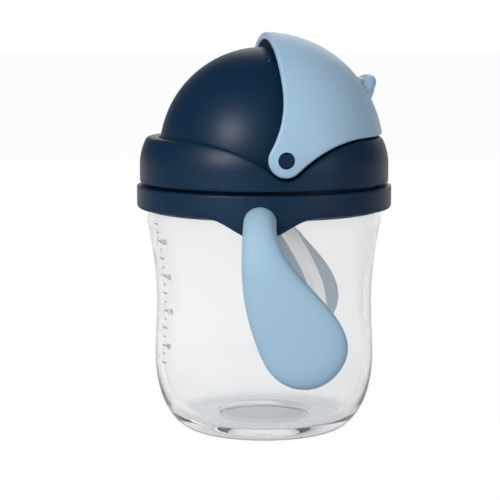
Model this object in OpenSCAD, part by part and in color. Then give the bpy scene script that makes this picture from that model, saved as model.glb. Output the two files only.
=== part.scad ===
// Toddler's training cup: a clear tumbler, a loose ring with two drooping grips, and a
// screw lid whose hinged cover folds a soft spout into the dome. A weighted straw hangs
// inside. Millimetres, +Z up, origin under the middle of the foot, grips on -Y and +Y,
// the drinking side towards +X.

/* [Cup] */
// Height of the shoulder that the handle ring rests on
shoulder_z = 75.4; // [70:0.1:82]
// Width of the shoulder outside the neck
shoulder_w = 4.5; // [4:0.1:6]
// Height of the upright band under the shoulder
shoulder_band = 5.9; // [4:0.1:8]
// How far the waist draws in under the shoulder
waist_in = 3.1; // [2:0.1:4]
// Height of the waist
waist_z = 42; // [36:1:48]
// How far the low belly swells beyond the waist
belly_out = 0.6; // [0:0.1:1.5]
// Height of the belly
belly_z = 25; // [20:0.5:28]
// Radius of the flat foot
foot_r = 22.5; // [20:0.1:24]
// Squareness of the rounding between foot and belly, 2 is an ellipse
corner_pow = 2.1; // [2:0.05:2.6]
// Thickness of the side wall
cup_wall = 2.3; // [1.8:0.1:2.8]
// Thickness of the floor over the foot
floor_t = 4.4; // [3.5:0.1:6]
// Radius of the hollow under the floor
punt_r = 15.5; // [12:0.5:16.5]
// Depth of the hollow under the floor
punt_depth = 1.8; // [1:0.1:2.4]

/* [Neck] */
// Outside radius of the neck under its thread
neck_r = 34.2; // [33.8:0.1:34.4]
// Height of the neck above the shoulder
neck_h = 6.6; // [6:0.1:8]
// Thickness of the neck
neck_wall = 2.2; // [1.8:0.1:2.6]
// Room for the thread between neck and lid
thread_room = 1.3; // [1.1:0.1:1.4]

/* [Handle ring] */
// Thickness of the ring outside the lid's skirt
ring_wall = 4.1; // [3.6:0.1:6]
// Height of the ring
ring_h = 8.2; // [7:0.1:10]
// How far the ring hangs down round the shoulder that carries it
ring_hang = 2.4; // [0:0.1:3]
// Rounding of its lower outer edge
ring_round = 2.4; // [1:0.1:3]
// Thickness of the lip under the lid's skirt
lip_t = 1.5; // [1:0.1:2]
// How far the ring droops under each grip
droop = 5.8; // [3:0.1:7]
// Half the width of the droop
droop_half = 15; // [12:0.5:18]
// Radius of the peg inside each grip
peg_r = 2.9; // [2:0.1:3.4]
// Length of the peg
peg_len = 8; // [5:0.5:9]
// Slope of the peg below level
peg_slope = 14; // [8:1:18]

/* [Grips] */
// Half width of a grip at its root
grip_root = 5.1; // [4.2:0.1:6]
// Half width of a grip at its broad end
grip_wide = 14.2; // [10:0.1:16]
// Half thickness at the root
grip_root_t = 4.9; // [4.4:0.1:6]
// Half thickness of the broad end
grip_wide_t = 4.3; // [3.5:0.1:5]
// How far the arm reaches out from the ring
grip_reach = 12; // [10:0.5:16]
// Drop of the arm while it turns downwards
arm_drop = 15; // [12:0.5:18]
// Height of the widest place
grip_wide_z = 39.5; // [34:0.5:44]
// Height of the grip's lowest point
grip_low_z = 22.9; // [18:0.2:28]
// How far the broad end swings towards the drinking side
grip_swing = 13.8; // [0:0.2:16]
// Height at which that swing ends
swing_z = 31.5; // [28:0.5:46]
// Squareness that the broad end's section has beyond an ellipse
grip_square = 0.35; // [0:0.05:0.6]

/* [Lid] */
// Turn of the closed lid against the grips
lid_turn = 12; // [0:0.5:20]
// How far the collar stands back from the ring's outside
collar_back = 1; // [0.5:0.1:2]
// Gap between handle ring and collar
collar_gap = 1; // [0.6:0.1:2]
// Height of the cover's pivot above the collar's lower edge
pivot_up = 9.6; // [9.2:0.1:11]
// Height of the collar's top above the pivot
collar_rise = 5.2; // [4:0.1:6]
// Radius of the collar's curved upper flank
collar_flank = 18.5; // [16:0.5:24]
// Thickness of the shelf under the dome
shelf_t = 1.5; // [1.2:0.1:1.8]
// How far the dome stands out beyond the neck
dome_step = 0.3; // [0:0.1:0.8]
// Thickness of the dome
dome_wall = 2.2; // [1.8:0.1:2.6]
// Slope of the scallop's straight flanks
scallop_slope = 40; // [36:1:44]
// Distance from the pivot at which the scallop runs level
scallop_reach = 29; // [27:0.5:30]

/* [Cover] */
// Clear gap between dome and cover
cover_gap = 2.4; // [2:0.1:3]
// Thickness of the cover
cover_wall = 2.4; // [1.8:0.1:2.8]
// Radius of the round ears
ear_r = 5.7; // [5.2:0.1:6.2]
// Gap between the cover's edge and the collar
edge_gap = 0.8; // [0.7:0.1:1.4]
// Height above the pivot at which the rear edge is furthest forward
waist_up = 22.5; // [18:0.5:24]
// How far forward of the pivot the rear edge comes there
waist_fore = 0.3; // [-1:0.1:1.5]
// Radius of the rear edge above that height
brow_r = 140; // [60:1:200]
// Half the width of the thumb tab
tab_half = 8; // [6:0.5:10]
// Angle of the thumb tab above level
tab_angle = 32; // [26:1:40]
// How far the thumb tab stands out
tab_out = 5; // [3:0.2:6]
// Thickness of the thumb tab
tab_t = 4.6; // [3:0.2:6]

/* [Pivot] */
// Radius of the trunnions
trunnion_r = 2.5; // [2:0.1:3]
// Running clearance round a trunnion
trunnion_slip = 0.06; // [0.03:0.01:0.1]
// Radius of the boss behind each ear
boss_r = 4.6; // [3.6:0.1:5]
// Radius of the detent bumps
bump_r = 1.6; // [1:0.1:2]

/* [Spout] */
// Forward place of the spout's seat from the pivot
seat_x = 4.5; // [3:0.5:6]
// Height of the spout's seat above the pivot
seat_up = 21; // [20:0.5:22]
// Slope of the trough's floor below level
trough_slope = 50; // [48:1:52]
// Half the width of the trough
trough_half = 6; // [5.5:0.1:7]
// Length of the folding tube
spout_len = 23; // [20:0.5:23.5]
// Outside radius of the folding tube
spout_r = 3.6; // [3:0.1:3.8]
// Outside radius of the bead at its mouth
bead_r = 4.2; // [3.8:0.1:4.4]
// Radius of the way through the spout
spout_bore = 1.7; // [1.2:0.1:2]
// Height of the fold above the trough's floor
fold_up = 4.8; // [4.7:0.1:5.4]
// Radius of the flange on the trough's floor
flange_r = 5.4; // [4.6:0.1:5.8]
// Radius of the barb under the floor
barb_r = 4.6; // [4:0.1:5]
// Radius of the stem that the straw's connector goes into
stem_r = 3.4; // [2.8:0.1:3.8]

/* [Straw] */
// Outside radius of the straw
straw_r = 2.5; // [2:0.1:3]
// Radius of the bend in the connector
elbow_r = 8; // [7:0.5:9]
// Radius of the weight's case
weight_r = 6.5; // [5.5:0.1:7.5]
// Length of the weight's case
weight_len = 17; // [15:0.5:19]
// Radius of the steel core
core_r = 4.6; // [3.5:0.1:5]
// Length of the steel core
core_len = 10; // [8:0.5:11]

/* [Seals] */
// Thickness of the lid's gasket
gasket_t = 1.4; // [1:0.1:1.6]
// Radius of the vent valve's flange
vent_r = 2.7; // [2.2:0.1:3.2]
// Length of the vent valve's bill
vent_len = 6; // [4:0.5:8]

/* [Hidden] */
$fn = 96;

// clearances
rest_gap = 0.1;      // between pieces that stand on each other
slip_gap = 0.3;      // between pieces that turn in each other
snap_gap = 0.05;     // between pieces pressed together
far = 100;           // longer than anything that is cut

// heights
neck_top = shoulder_z + neck_h;
seat_z = shoulder_z + rest_gap;
ring_z = seat_z - ring_hang;
ring_top = ring_z + ring_h;
collar_z = ring_top + collar_gap;
pivot_z = collar_z + pivot_up;
shelf_z = neck_top + gasket_t + rest_gap;
dome_z = shelf_z + shelf_t;
skirt_z = seat_z + lip_t + slip_gap;

// radii from the neck outwards
shoulder_r = neck_r + shoulder_w;
waist_r = shoulder_r - waist_in;
belly_r = waist_r + belly_out;
skirt_in = neck_r + thread_room;
skirt_wall = 2.1;
skirt_r = skirt_in + skirt_wall;
ring_in = skirt_r + slip_gap;
ring_r = ring_in + ring_wall;
lip_in = neck_r + slip_gap;
droop_in = shoulder_r + slip_gap;
dome_r = neck_r + dome_step;
collar_r = ring_r - collar_back;
root_drop = 4.2;     // a grip's root lies this far below the ring's middle
collar_in = dome_r + rest_gap;
cover_in = dome_r + cover_gap;
cover_r = cover_in + cover_wall;

// scallop of the collar: a round dip under each ear, a straight flank, a wide crest
dip_r = ear_r + edge_gap;
crest_r = (scallop_reach * sin(scallop_slope) - collar_rise * cos(scallop_slope) - dip_r)
    / (1 - cos(scallop_slope));
crest_over = 0.03;   // the crest runs out this far above the collar's top
crest_at = [scallop_reach, collar_rise + crest_over - crest_r];

// rear edge of the cover: this arc touches the ear's circle
nape_r = (pow(waist_up, 2) + pow(waist_fore, 2) - pow(ear_r, 2)) / (2 * (ear_r + waist_fore));
nape_at = [waist_fore - nape_r, waist_up];
nape_touch = ear_r / (nape_r + ear_r) * nape_at;

// trough, in its own frame: x down the floor, z away from it
trough_len = spout_len + 1.7;
floor_wall = 1.8;
seat_hole = 3;

// straw connector: it leaves the spout's stem along the trough's axis and bends down
stem_len = 8;
bend_gap = stem_len + 1 + snap_gap;
connector_drop = 1.5;
bend_at = [seat_x, seat_up] - bend_gap * [sin(trough_slope), cos(trough_slope)]
    + elbow_r * [cos(trough_slope), -sin(trough_slope)];
straw_start = bend_at + [-elbow_r, pivot_z - connector_drop];

// middle line of the straw in the lid's own plane, as [forward, up] from its start
straw_route = [
    [0, 0], [0, -3.4], [0.5, -8], [2.1, -14], [4.7, -20], [8, -25.6], [11.5, -31],
    [14.9, -36.4], [18.2, -42], [21.2, -48], [23.4, -54], [24.3, -59.6], [24.3, -63.6]
];

// weight at the straw's lower end
weight_x = straw_start[0] + straw_route[len(straw_route) - 1][0];
weight_top = straw_start[1] + straw_route[len(straw_route) - 1][1];
weight_z = weight_top - weight_len;
weight_split = weight_z + weight_len / 2;
core_z = weight_z + 3.2;
core_way = 1.6;

function smooth_step(t) = (1 - cos(180 * t)) / 2;
function steps(a, b, n) = [for (i = [0:n]) a + (b - a) * i / n];

// quarter of a superellipse from [r0, z0] up and out to [r1, z1]
function corner(r0, z0, r1, z1, n) = [
    for (a = steps(0, 90, n))
        [r0 + (r1 - r0) * pow(sin(a), 2 / corner_pow), z1 - (z1 - z0) * pow(cos(a), 2 / corner_pow)]
];

// outside radius of the cup's side at height z
flare = pow(shoulder_z - shoulder_band - waist_z, 2) / (2 * (shoulder_r - waist_r));
function side_r(z) = z < waist_z
    ? belly_r + (waist_r - belly_r) * smooth_step((z - belly_z) / (waist_z - belly_z))
    : min(shoulder_r, waist_r + pow(z - waist_z, 2) / (2 * flare));

module cup_body() {
    ease = 0.5;      // broken edges of shoulder and rim
    rim_in = neck_r - neck_wall;
    under_z = shoulder_z - cup_wall;
    belly_in = belly_r - cup_wall;
    floor_in = foot_r - cup_wall;
    outside = concat(
        [[0, punt_depth], [punt_r - punt_depth, punt_depth], [punt_r, 0]],
        corner(foot_r, 0, belly_r, belly_z, 12),
        [for (z = steps(belly_z, waist_z, 5)) if (z > belly_z) [side_r(z), z]],
        [for (z = steps(waist_z, shoulder_z - shoulder_band, 8)) if (z > waist_z) [side_r(z), z]],
        [[shoulder_r, shoulder_z - ease], [shoulder_r - ease, shoulder_z], [neck_r, shoulder_z]]
    );
    inside = concat(
        [[neck_r, neck_top - ease], [neck_r - ease, neck_top], [rim_in, neck_top],
            [rim_in, under_z + ease], [shoulder_r - cup_wall, under_z - ease]],
        [for (z = steps(shoulder_z - shoulder_band - 3, waist_z, 8)) [side_r(z) - cup_wall, z]],
        [for (z = steps(waist_z, belly_z, 5)) if (z < waist_z) [side_r(z) - cup_wall, z]],
        let (arc = corner(floor_in, floor_t, belly_in, belly_z, 12))
            [for (i = [11:-1:0]) arc[i]],
        [[0, floor_t]]
    );
    color([0.9, 0.92, 0.94, 0.4]) rotate_extrude() polygon(concat(outside, inside));
}

// ---- handle ring and grips ----

// A peg starts inside the ring's wall, clear of the cup behind it.
peg_start = droop_in + peg_r * sin(peg_slope) + rest_gap;

module peg(r, length) {
    translate([0, peg_start, ring_z + ring_h / 2 - root_drop])
        rotate([-90 - peg_slope, 0, 0])
            cylinder(r = r, h = length + ring_r - peg_start);
}

module handle_ring() {
    foot_w = ring_r - ring_round;
    color([0.1, 0.18, 0.27]) {
        rotate_extrude() {
            difference() {
                union() {
                    translate([droop_in, ring_z]) square([ring_r - droop_in, ring_h]);
                    translate([ring_in, seat_z]) square([ring_r - ring_in, ring_top - seat_z]);
                }
                translate([foot_w, ring_z]) square(ring_round);
            }
            intersection() {
                translate([foot_w, ring_z + ring_round]) circle(ring_round);
                translate([foot_w, ring_z]) square(ring_round);
            }
            translate([lip_in, seat_z]) square([ring_in - lip_in + 1, lip_t]);
        }
        for (side = [0, 180]) rotate([0, 0, side]) {
            droop_apron();
            peg(peg_r, peg_len);
        }
    }
}

// The part of the ring that sags round a grip's root. Its layers follow the ring's
// rounded lower edge.
module droop_apron() {
    top = ring_z + ring_round + 0.5;
    difference() {
        for (turn = steps(0, 90, 3)) intersection() {
            low = ring_z + ring_round * (1 - sin(turn));
            fall = [for (x = steps(-droop_half, droop_half, 20))
                [x, low - droop * smooth_step(1 - abs(x) / droop_half)]];
            rotate([90, 0, 180]) linear_extrude(far)
                polygon(concat([[droop_half, top], [-droop_half, top]], fall));
            cylinder(r = ring_r - ring_round * (1 - cos(turn)), h = far);
        }
        translate([0, 0, -1]) cylinder(r = droop_in, h = far + 2);
    }
}

// middle line of a grip as [outward, height], from 0 at the ring to 1 at the lowest point
arm_root = [ring_r - 1, ring_z + ring_h / 2 - root_drop];
arm_low = arm_root[1] - arm_drop;
arm_share = 0.4;
swing_lag = 0.5;     // the swing starts this far below a grip's root
function grip_line(t) = t < arm_share
    ? let (a = 90 * t / arm_share)
        [arm_root[0] + (grip_reach + 1) * sin(a), arm_root[1] - arm_drop * (1 - cos(a))]
    : let (s = (t - arm_share) / (1 - arm_share), e = sin(90 * s))
        [arm_root[0] + grip_reach + 1 - 1.8 * e * e, arm_low - (arm_low - grip_low_z) * e];
function cap_left(z) = z > grip_wide_z ? 0 : (grip_wide_z - z) / (grip_wide_z - grip_low_z);
function grip_half_w(z) = z > grip_wide_z
    ? grip_root + (grip_wide - grip_root)
        * smooth_step(min(1, (arm_root[1] - z) / (arm_root[1] - grip_wide_z)))
    : grip_wide * sqrt(max(0, 1 - pow(cap_left(z), 2)));
function grip_half_t(z) = (grip_root_t + (grip_wide_t - grip_root_t)
    * min(1, (arm_root[1] - z) / (arm_root[1] - grip_wide_z)))
    * sqrt(max(0, 1 - pow(cap_left(z), 5)));
function grip_lean(z) = grip_swing
    * smooth_step(max(0, min(1, (arm_root[1] - swing_lag - z) / (arm_root[1] - swing_z))));

// rounded section, squarer than an ellipse
function soft_round(a, n) = sign(sin(a)) * pow(abs(sin(a)), 2 / n);

// closed skin through rings of points, with one point at each end
module skin(rings, first, last) {
    n = len(rings[0]);
    m = len(rings);
    points = concat([for (ring = rings) each ring], [first, last]);
    sides = [for (i = [0:m - 2], j = [0:n - 1]) let (k = (j + 1) % n)
        each [[i * n + j, i * n + k, (i + 1) * n + k], [i * n + j, (i + 1) * n + k, (i + 1) * n + j]]];
    start = [for (j = [0:n - 1]) [m * n, (j + 1) % n, j]];
    end = [for (j = [0:n - 1]) [m * n + 1, (m - 1) * n + j, (m - 1) * n + (j + 1) % n]];
    polyhedron(points, concat(sides, start, end));
}

module grip_skin() {
    rings = [for (t = steps(0, 0.97, 26)) let (
            p = grip_line(t),
            d = grip_line(t + 0.01) - grip_line(max(0, t - 0.01)),
            n = [-d[1], d[0]] / norm(d),
            w = grip_half_w(p[1]), h = grip_half_t(p[1]),
            e = 2 + grip_square * smooth_step(min(1, t / arm_share)))
        [for (a = [0:15:345])
            [grip_lean(p[1]) + w * soft_round(a, e),
                p[0] + n[0] * h * soft_round(a + 90, e),
                p[1] + n[1] * h * soft_round(a + 90, e)]]];
    end = grip_line(1);
    skin(rings, [0, arm_root[0], arm_root[1]], [grip_swing, end[0], end[1]]);
}

// A grip on the +Y side. The other one is its mirror image.
module grip() {
    color([0.63, 0.76, 0.85]) difference() {
        grip_skin();
        cylinder(r = ring_r + snap_gap, h = far);
        peg(peg_r + snap_gap, peg_len + snap_gap);
    }
}

module left_grip() {
    grip();
}

module right_grip() {
    mirror([0, 1, 0]) grip();
}

// ---- lid ----

// turns the lid's own plane, with the pivot at its origin, into place
module at_lid() {
    rotate([0, 0, lid_turn]) translate([0, 0, pivot_z]) children();
}

// a side view of the lid, drawn as [forward, up], cut right across
module across(width = far) {
    rotate([90, 0, 0]) linear_extrude(width, center = true) children();
}

// a leaning frame on the trough's floor: x runs down the floor, z away from it
module at_trough() {
    translate([seat_x, 0, seat_up]) rotate([0, trough_slope, 0]) children();
}

// where the side view meets the straight flank, for a circle of radius r round the pivot
function flank_foot(r) = r * [sin(scallop_slope), -cos(scallop_slope)];
function flank_head(gap) = crest_at + (crest_r + gap) * [-sin(scallop_slope), cos(scallop_slope)];

function arc(at, r, a, b, n) = [for (t = steps(a, b, n)) at + r * [cos(t), sin(t)]];

module scallop_shape() {
    half = concat(
        arc([0, 0], dip_r, scallop_slope / 8 - 90, scallop_slope - 90, 7),
        arc(crest_at, crest_r, 90 + scallop_slope, 90, 20),
        [[scallop_reach, far]]);
    last = len(half) - 1;
    polygon(concat(half, [for (i = [last:-1:0]) [-half[i][0], half[i][1]]]));
}

module lid_collar() {
    band_h = pivot_z + collar_rise - collar_z;
    flank_z = collar_z + 5.7;
    color([0.1, 0.18, 0.27]) difference() {
        rotate_extrude($fn = 160) {
            intersection() {
                union() {
                    translate([skirt_in, collar_z]) square([collar_r - skirt_in, band_h]);
                    translate([collar_in, shelf_z]) square([skirt_wall, pivot_z + collar_rise - shelf_z]);
                }
                union() {
                    translate([collar_r - collar_flank, flank_z]) circle(collar_flank, $fn = 200);
                    square([collar_r, flank_z]);
                }
            }
            translate([neck_r - neck_wall, shelf_z]) square([collar_in - neck_r + neck_wall + 1, shelf_t]);
            translate([skirt_in, skirt_z]) square([skirt_wall, dome_z - skirt_z]);
        }
        at_lid() across() scallop_shape();
    }
}

// the room in which the spout folds, grown by a wall
module trough_room(wall) {
    at_trough() translate([0, 0, -wall]) linear_extrude(far / 2) {
        for (x = [0, trough_len - trough_half])
            translate([x, 0]) circle(trough_half + wall);
        translate([0, -trough_half - wall])
            square([trough_len - trough_half, 2 * (trough_half + wall)]);
    }
}

module dome_solid(r) {
    intersection() {
        sphere(r, $fn = 200);
        translate([0, 0, far / 2]) cube(far, center = true);
    }
    translate([0, 0, dome_z + rest_gap / 2 - pivot_z])
        cylinder(r = r, h = pivot_z - dome_z - rest_gap / 2 + 0.001, $fn = 200);
}

module dome_shell() {
    difference() {
        dome_solid(dome_r);
        difference() {
            union() {
                sphere(dome_r - dome_wall, $fn = 200);
                translate([0, 0, -far / 2]) cylinder(r = dome_r - dome_wall, h = far / 2, $fn = 200);
            }
            trough_room(floor_wall);
        }
    }
}

module lid_dome() {
    bump_up = 62;    // angle of a detent bump above the level through the pivot, seen from behind
    bump_back = 0.9; // how far a detent bump sits behind the pivot
    color([0.1, 0.18, 0.27]) at_lid() {
        difference() {
            union() {
                dome_shell();
                for (side = [-1, 1]) {
                    rotate([-side * bump_up, 0, 0]) translate([-bump_back, -side * (dome_r - 0.5), 0])
                        sphere(bump_r);
                    rotate([side * 90, 0, 0]) translate([0, 0, dome_r - dome_wall - 1]) {
                        cylinder(r = boss_r, h = cover_gap + dome_wall + 0.4);
                        cylinder(r = trunnion_r, h = cover_r - dome_r + dome_wall + 0.6);
                    }
                }
            }
            trough_room(0);
            at_trough() {
                translate([0, 0, -far / 10]) cylinder(r = seat_hole + snap_gap, h = far / 5);
                translate([trough_len / 2, 0, -far / 10]) cylinder(r = 1.5 + snap_gap, h = far / 5);
            }
        }
    }
}

// ---- cover ----

module cover_shape() {
    circle(ear_r);
    difference() {
        polygon([[0, 0], flank_foot(ear_r), flank_head(edge_gap),
            [scallop_reach, collar_rise + edge_gap], [far / 2, collar_rise + edge_gap],
            [far / 2, far / 2], [-6, far / 2], [-6, waist_up], [nape_touch[0], waist_up], nape_touch]);
        translate(crest_at) circle(crest_r + edge_gap, $fn = 200);
        translate(nape_at) circle(nape_r, $fn = 200);
        intersection() {
            translate([waist_fore - brow_r, waist_up]) circle(brow_r, $fn = 600);
            translate([-far / 2, waist_up]) square(far);
        }
    }
}

// a lump with a round lip, seen from the side and from above
module thumb_tab() {
    lip_r = tab_t / 2;
    lip_x = cover_r + tab_out - lip_r;
    lip_up = 1;
    round_r = tab_half / 2;
    rotate([0, -tab_angle, 0]) intersection() {
        across() {
            translate([lip_x, lip_up]) circle(lip_r);
            polygon([[cover_r - 1.2, -tab_t * 0.85], [cover_r + 0.2, -tab_t * 0.8],
                [cover_r + 1.2, -tab_t * 0.55], [lip_x, lip_up - lip_r], [lip_x, lip_up + lip_r],
                [cover_r + 0.8, tab_t * 0.62], [cover_r - 1.2, tab_t * 0.85]]);
        }
        linear_extrude(far, center = true) {
            translate([0, -tab_half]) square([cover_r + tab_out - round_r, 2 * tab_half]);
            for (side = [-1, 1])
                translate([cover_r + tab_out - round_r, side * round_r]) circle(round_r);
            translate([0, -round_r]) square([cover_r + tab_out, tab_half]);
        }
    }
}

// a ball whose poles lie on the pivot's axis
module pivot_ball(r) {
    rotate([90, 90, 0]) sphere(r, $fn = 240);
}

module flip_cover() {
    color([0.63, 0.76, 0.85]) at_lid() difference() {
        union() {
            intersection() {
                pivot_ball(cover_r);
                across() cover_shape();
            }
            thumb_tab();
        }
        pivot_ball(cover_in);
        rotate([90, 0, 0]) cylinder(r = trunnion_r + trunnion_slip, h = far, center = true);
    }
}

// ---- seals, spout and straw ----

module lid_gasket() {
    inner = neck_r - neck_wall + 0.1;
    color([0.88, 0.9, 0.91]) rotate_extrude() {
        translate([inner, neck_top + rest_gap / 2]) square([neck_r - inner + 0.6, gasket_t]);
        translate([inner + 0.5, neck_top + rest_gap / 2 + gasket_t / 2]) circle(gasket_t / 2);
    }
}

module spout_base() {
    flange_t = 0.55;
    barb_t = 1.2;
    color([0.9, 0.92, 0.93]) at_lid() at_trough() rotate_extrude() difference() {
        union() {
            translate([0, snap_gap]) square([flange_r, flange_t]);
            translate([0, -floor_wall - 1]) square([seat_hole, floor_wall + 1 + snap_gap + flange_t]);
            translate([0, -floor_wall - snap_gap - barb_t]) square([barb_r, barb_t]);
            translate([0, -stem_len]) square([stem_r, stem_len - floor_wall - 1]);
        }
        translate([-1, -far / 2]) square([1 + spout_bore, far]);
    }
}

module spout_tip() {
    bead_round = 1.2;
    color([0.9, 0.92, 0.93]) at_lid() at_trough() translate([0, 0, fold_up]) difference() {
        union() {
            sphere(spout_r + slip_gap);
            rotate([0, 90, 0]) rotate_extrude() {
                square([spout_r, spout_len - bead_round / 2]);
                translate([0, spout_len - bead_r]) square([bead_r - bead_round, bead_r]);
                translate([bead_r - bead_round, spout_len - bead_round]) circle(bead_round);
            }
        }
        rotate([0, 90, 0]) cylinder(r = spout_bore, h = far);
    }
}

module vent_valve() {
    neck = 1.5;
    color([0.9, 0.92, 0.93]) at_lid() at_trough() translate([trough_len / 2, 0, 0]) difference() {
        union() {
            translate([0, 0, snap_gap]) cylinder(r = vent_r, h = 0.5);
            translate([0, 0, -floor_wall - 1]) cylinder(r = neck, h = floor_wall + 1.1);
            translate([0, 0, -floor_wall - snap_gap - 1]) cylinder(r = vent_r - 0.4, h = 1);
            translate([0, 0, -floor_wall - snap_gap - vent_len]) intersection() {
                cylinder(r = neck + 0.4, h = vent_len - 0.9);
                rotate([90, 0, 0]) linear_extrude(far, center = true)
                    polygon([[-0.5, 0], [0.5, 0], [neck + 0.4, vent_len - 1.5],
                        [neck + 0.4, vent_len], [-neck - 0.4, vent_len],
                        [-neck - 0.4, vent_len - 1.5]]);
            }
        }
        translate([0, 0, -floor_wall - vent_len + 0.8]) cylinder(r = 0.7, h = far);
    }
}

// the bend between the spout's stem and the straw, as a round bar of radius r
module bend(r) {
    at_trough() translate([elbow_r, 0, -bend_gap]) rotate([-90, 0, 0])
        rotate_extrude(angle = trough_slope, start = 180 - trough_slope)
            translate([elbow_r, 0]) circle(r);
}

module straw_connector() {
    bar_r = straw_r - 0.1;
    collar = straw_r + 0.2;
    way = 1.1;
    overlap = 0.4;
    color([0.86, 0.88, 0.9]) at_lid() difference() {
        union() {
            bend(bar_r);
            at_trough() translate([0, 0, -bend_gap - overlap]) {
                cylinder(r = collar, h = 1 + overlap);
                cylinder(r = spout_bore - snap_gap, h = 6);
            }
            translate([straw_start[0], 0, straw_start[1] - pivot_z])
                cylinder(r = collar, h = connector_drop + overlap);
        }
        bend(way);
        at_trough() translate([0, 0, -bend_gap - overlap]) cylinder(r = way + 0.1, h = 8);
        translate([straw_start[0], 0, straw_start[1] - pivot_z - 1])
            cylinder(r = way + 0.1, h = connector_drop + overlap + 1);
    }
}

module straw_tube() {
    n = len(straw_route);
    rings = [for (i = [0:n - 1]) let (
            p = straw_start + straw_route[i],
            d = straw_route[min(n - 1, i + 1)] - straw_route[max(0, i - 1)],
            across_way = [-d[1], d[0]] / norm(d))
        [for (a = [0:30:330]) [
            p[0] + across_way[0] * straw_r * cos(a),
            straw_r * sin(a),
            p[1] + across_way[1] * straw_r * cos(a)]]];
    first = straw_start;
    last = straw_start + straw_route[n - 1];
    color([0.9, 0.92, 0.93]) rotate([0, 0, lid_turn])
        skin(rings, [first[0], 0, first[1]], [last[0], 0, last[1]]);
}

module at_weight() {
    rotate([0, 0, lid_turn]) translate([weight_x, 0, 0]) children();
}

// half of the weight's case in section, with a rounded end towards +y
module case_half(length, end_r) {
    translate([0, 0]) square([weight_r, length - end_r]);
    square([weight_r - end_r, length]);
    translate([weight_r - end_r, length - end_r]) circle(end_r);
}

module weight_cap() {
    color([0.82, 0.86, 0.89]) at_weight() rotate_extrude() difference() {
        translate([0, weight_split]) {
            case_half(weight_top - weight_split - 2, 3);
            square([straw_r + 1, weight_top - weight_split]);
        }
        translate([-1, 0]) square([1 + core_way, far]);
        square([core_r + rest_gap, core_z + core_len + rest_gap]);
        square([core_r + 0.9, weight_split + 1.6]);
        translate([-weight_r, 0]) square([weight_r, far]);
    }
}

module weight_core() {
    color([0.62, 0.63, 0.65]) at_weight() translate([0, 0, core_z]) difference() {
        cylinder(r = core_r, h = core_len);
        translate([0, 0, -1]) cylinder(r = core_way, h = core_len + 2);
    }
}

module weight_base() {
    low = core_z - rest_gap / 2;
    color([0.82, 0.86, 0.89]) at_weight() difference() {
        rotate_extrude() difference() {
            union() {
                translate([0, weight_split]) mirror([0, 1]) case_half(weight_split - weight_z, 2.5);
                translate([0, weight_split - 1]) square([core_r + 0.85, 2.5]);
            }
            translate([0, low]) square([core_r + rest_gap, far]);
            translate([0, low - 1.2]) square([core_r - 0.8, far]);
            translate([-weight_r, 0]) square([weight_r, far]);
        }
        translate([0, 0, weight_z - 1]) cylinder(r = 1, h = far);
        for (turn = [0:90:270]) rotate([0, 0, turn])
            translate([2.6, 0, weight_z - 1]) cylinder(r = 0.7, h = 5);
    }
}

cup_body();
handle_ring();
left_grip();
right_grip();
lid_collar();
lid_dome();
flip_cover();
lid_gasket();
spout_base();
spout_tip();
vent_valve();
straw_connector();
straw_tube();
weight_cap();
weight_core();
weight_base();
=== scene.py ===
import bpy
import bmesh
from math import atan2, copysign, cos, degrees, pi, radians, sin, sqrt, tan
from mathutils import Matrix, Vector


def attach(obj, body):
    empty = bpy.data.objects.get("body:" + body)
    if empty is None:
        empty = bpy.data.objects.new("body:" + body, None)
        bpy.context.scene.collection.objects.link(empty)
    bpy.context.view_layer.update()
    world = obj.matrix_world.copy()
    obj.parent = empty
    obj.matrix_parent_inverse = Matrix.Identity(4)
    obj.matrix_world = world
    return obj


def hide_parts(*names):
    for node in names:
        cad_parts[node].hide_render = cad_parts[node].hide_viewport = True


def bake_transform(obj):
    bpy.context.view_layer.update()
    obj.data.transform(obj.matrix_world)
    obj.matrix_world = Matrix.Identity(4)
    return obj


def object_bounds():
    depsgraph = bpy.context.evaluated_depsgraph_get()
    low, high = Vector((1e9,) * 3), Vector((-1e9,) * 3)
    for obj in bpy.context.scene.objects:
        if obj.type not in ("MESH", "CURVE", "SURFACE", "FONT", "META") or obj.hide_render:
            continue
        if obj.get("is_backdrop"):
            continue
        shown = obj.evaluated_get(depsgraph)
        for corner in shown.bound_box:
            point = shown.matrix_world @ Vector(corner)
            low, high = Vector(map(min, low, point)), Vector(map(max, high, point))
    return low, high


# Toddler's training cup. Sizes in the dictionaries are millimetres, turned into metres
# where a mesh is made. +Z up, grips on -Y and +Y, drinking side towards +X.
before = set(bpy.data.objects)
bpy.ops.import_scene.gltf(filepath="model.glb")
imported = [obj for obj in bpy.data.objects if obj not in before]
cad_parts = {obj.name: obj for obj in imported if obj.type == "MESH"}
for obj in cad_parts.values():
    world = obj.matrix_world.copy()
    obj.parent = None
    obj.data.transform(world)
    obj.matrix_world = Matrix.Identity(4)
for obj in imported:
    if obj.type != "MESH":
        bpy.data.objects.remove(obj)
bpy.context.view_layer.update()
print("frame loaded, nodes:", len(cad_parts))

lidPlane = {"turn": radians(12), "pivot": 91.9}


def toLid(x, y, z):
    # from the lid's own plane, with the pivot at its origin, to the cup's frame
    c, s = cos(lidPlane["turn"]), sin(lidPlane["turn"])
    return (x * c - y * s, x * s + y * c, z + lidPlane["pivot"])


def metres(point):
    return [v / 1000 for v in point]


def toScene(name, data):
    thing = bpy.data.objects.new(name, data)
    bpy.context.scene.collection.objects.link(thing)
    return thing


def aimAt(thing, spot, look):
    # a camera or a lamp looks down its own -Z
    thing.location = spot
    thing.rotation_mode = "QUATERNION"
    thing.rotation_quaternion = look.to_track_quat("-Z", "Y")


# the camera stands a little to the right and above, as the photograph was taken
cameraSetup = {"distance": 600, "height": 136.7, "swing": 2.1, "aside": 4.65, "pitch": 7.36, "lens": 131.0,
               "sensor": 36, "nearest": 0.01}


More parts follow.
